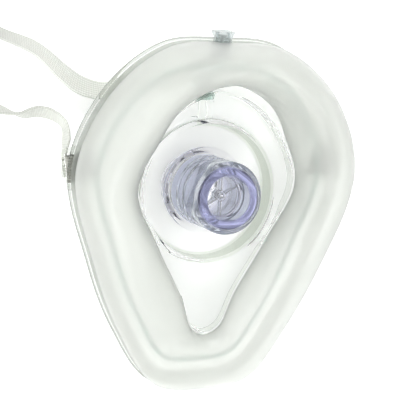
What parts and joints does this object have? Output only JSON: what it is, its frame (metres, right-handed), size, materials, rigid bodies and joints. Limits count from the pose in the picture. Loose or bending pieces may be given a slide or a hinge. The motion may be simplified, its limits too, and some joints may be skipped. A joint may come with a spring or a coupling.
{
  "type": "pocket resuscitation mask",
  "caption": "Clear oronasal resuscitation mask with an inflatable cushion, a one-way valve and mouthpiece, an oxygen inlet and an elastic head strap.",
  "frame": {"origin": "middle of the mask's bounding box, on the surface that the mouthpiece stands on", "axes": "+Z from the mouthpiece towards the patient's face, +Y towards the chin end, +X to the right"},
  "size_m": [0.1993, 0.1452, 0.0499],
  "materials": {
    "clear_shell": "clear moulded plastic, polished",
    "frosted_vinyl": "soft translucent vinyl, frosted",
    "violet_clear": "violet tinted clear plastic",
    "pale_violet_clear": "pale tinted clear plastic",
    "silicone": "translucent silicone",
    "plunger_white": "moulded",
    "elastic": "woven flat elastic",
    "green_cap": "soft moulded plastic"
  },
  "bodies": {
    "mask": {"dome_shell": "clear_shell", "port_collar": "clear_shell", "hub_ring": "pale_violet_clear", "cushion": "frosted_vinyl", "cushion_weld_rim": "frosted_vinyl", "inflation_stem": "clear_shell", "inflation_valve_seat": "silicone", "oxygen_nipple": "clear_shell", "strap_lug_left": "clear_shell", "strap_wrap_left": "elastic", "strap_lug_right": "clear_shell", "strap_wrap_right": "elastic", "head_strap": "elastic"},
    "gasket": {"valve_gasket": "silicone"},
    "valve": {"valve_base": "violet_clear", "valve_seat": "pale_violet_clear", "vent_ring": "pale_violet_clear", "valve_cover": "violet_clear"},
    "diaphragm": {"valve_diaphragm": "silicone"},
    "plunger": {"inflation_plunger": "plunger_white"},
    "cap": {"oxygen_cap": "green_cap"}
  },
  "joints": [
    {"name": "valve_pull", "type": "slide", "parent": "mask", "child": "gasket", "axis": [0, 0, -1], "range_m": [0, 0.03]},
    {"name": "valve_swivel", "type": "hinge", "parent": "gasket", "child": "valve", "pos_m": [0, 0.0081, 0.0175], "axis": [0, 0, 1], "continuous": true},
    {"name": "diaphragm_lift", "type": "slide", "parent": "valve", "child": "diaphragm", "axis": [0, 0, 1], "range_m": [0, 0.0012], "stiffness_N_per_m": 6, "springref_m": -0.001},
    {"name": "inflation_plunger_press", "type": "slide", "parent": "mask", "child": "plunger", "axis": [0, -0.9945, -0.1045], "range_m": [0, 0.0014], "stiffness_N_per_m": 60, "springref_m": -0.001},
    {"name": "oxygen_cap_pull", "type": "slide", "parent": "mask", "child": "cap", "axis": [0, 1, 0], "range_m": [0, 0.012]}
  ]
}
